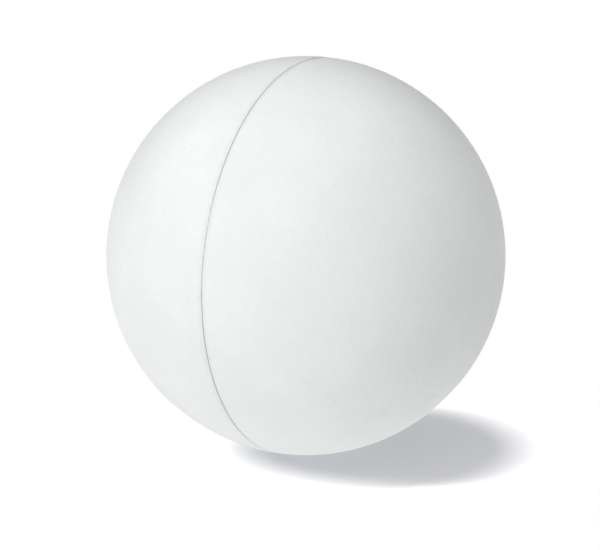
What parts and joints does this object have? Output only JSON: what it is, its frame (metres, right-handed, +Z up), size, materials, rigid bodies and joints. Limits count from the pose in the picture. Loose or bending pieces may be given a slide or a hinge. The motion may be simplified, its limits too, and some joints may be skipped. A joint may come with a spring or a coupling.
{
  "type": "table tennis ball",
  "caption": "Hollow white matt ball of two celluloid half-shells butt-jointed over an inner strip, for table tennis.",
  "frame": {"origin": "the ball's centre", "axes": "+X along the axis of the two half-shells, from the left half-shell towards the right one, so the seam lies in the YZ plane; +Z up"},
  "size_m": [0.04, 0.04, 0.04],
  "materials": {
    "left_half_shell": "fine matt, moulded celluloid, faintly grained",
    "right_half_shell": "fine matt, moulded celluloid, faintly grained",
    "joint_strip": "untreated celluloid sheet, a little yellow",
    "seam_cement": "dried clear cement, blue-grey in the joint"
  },
  "bodies": {
    "root": {"left_half_shell": "left_half_shell", "right_half_shell": "right_half_shell", "joint_strip": "joint_strip", "seam_cement": "seam_cement"}
  },
  "joints": []
}
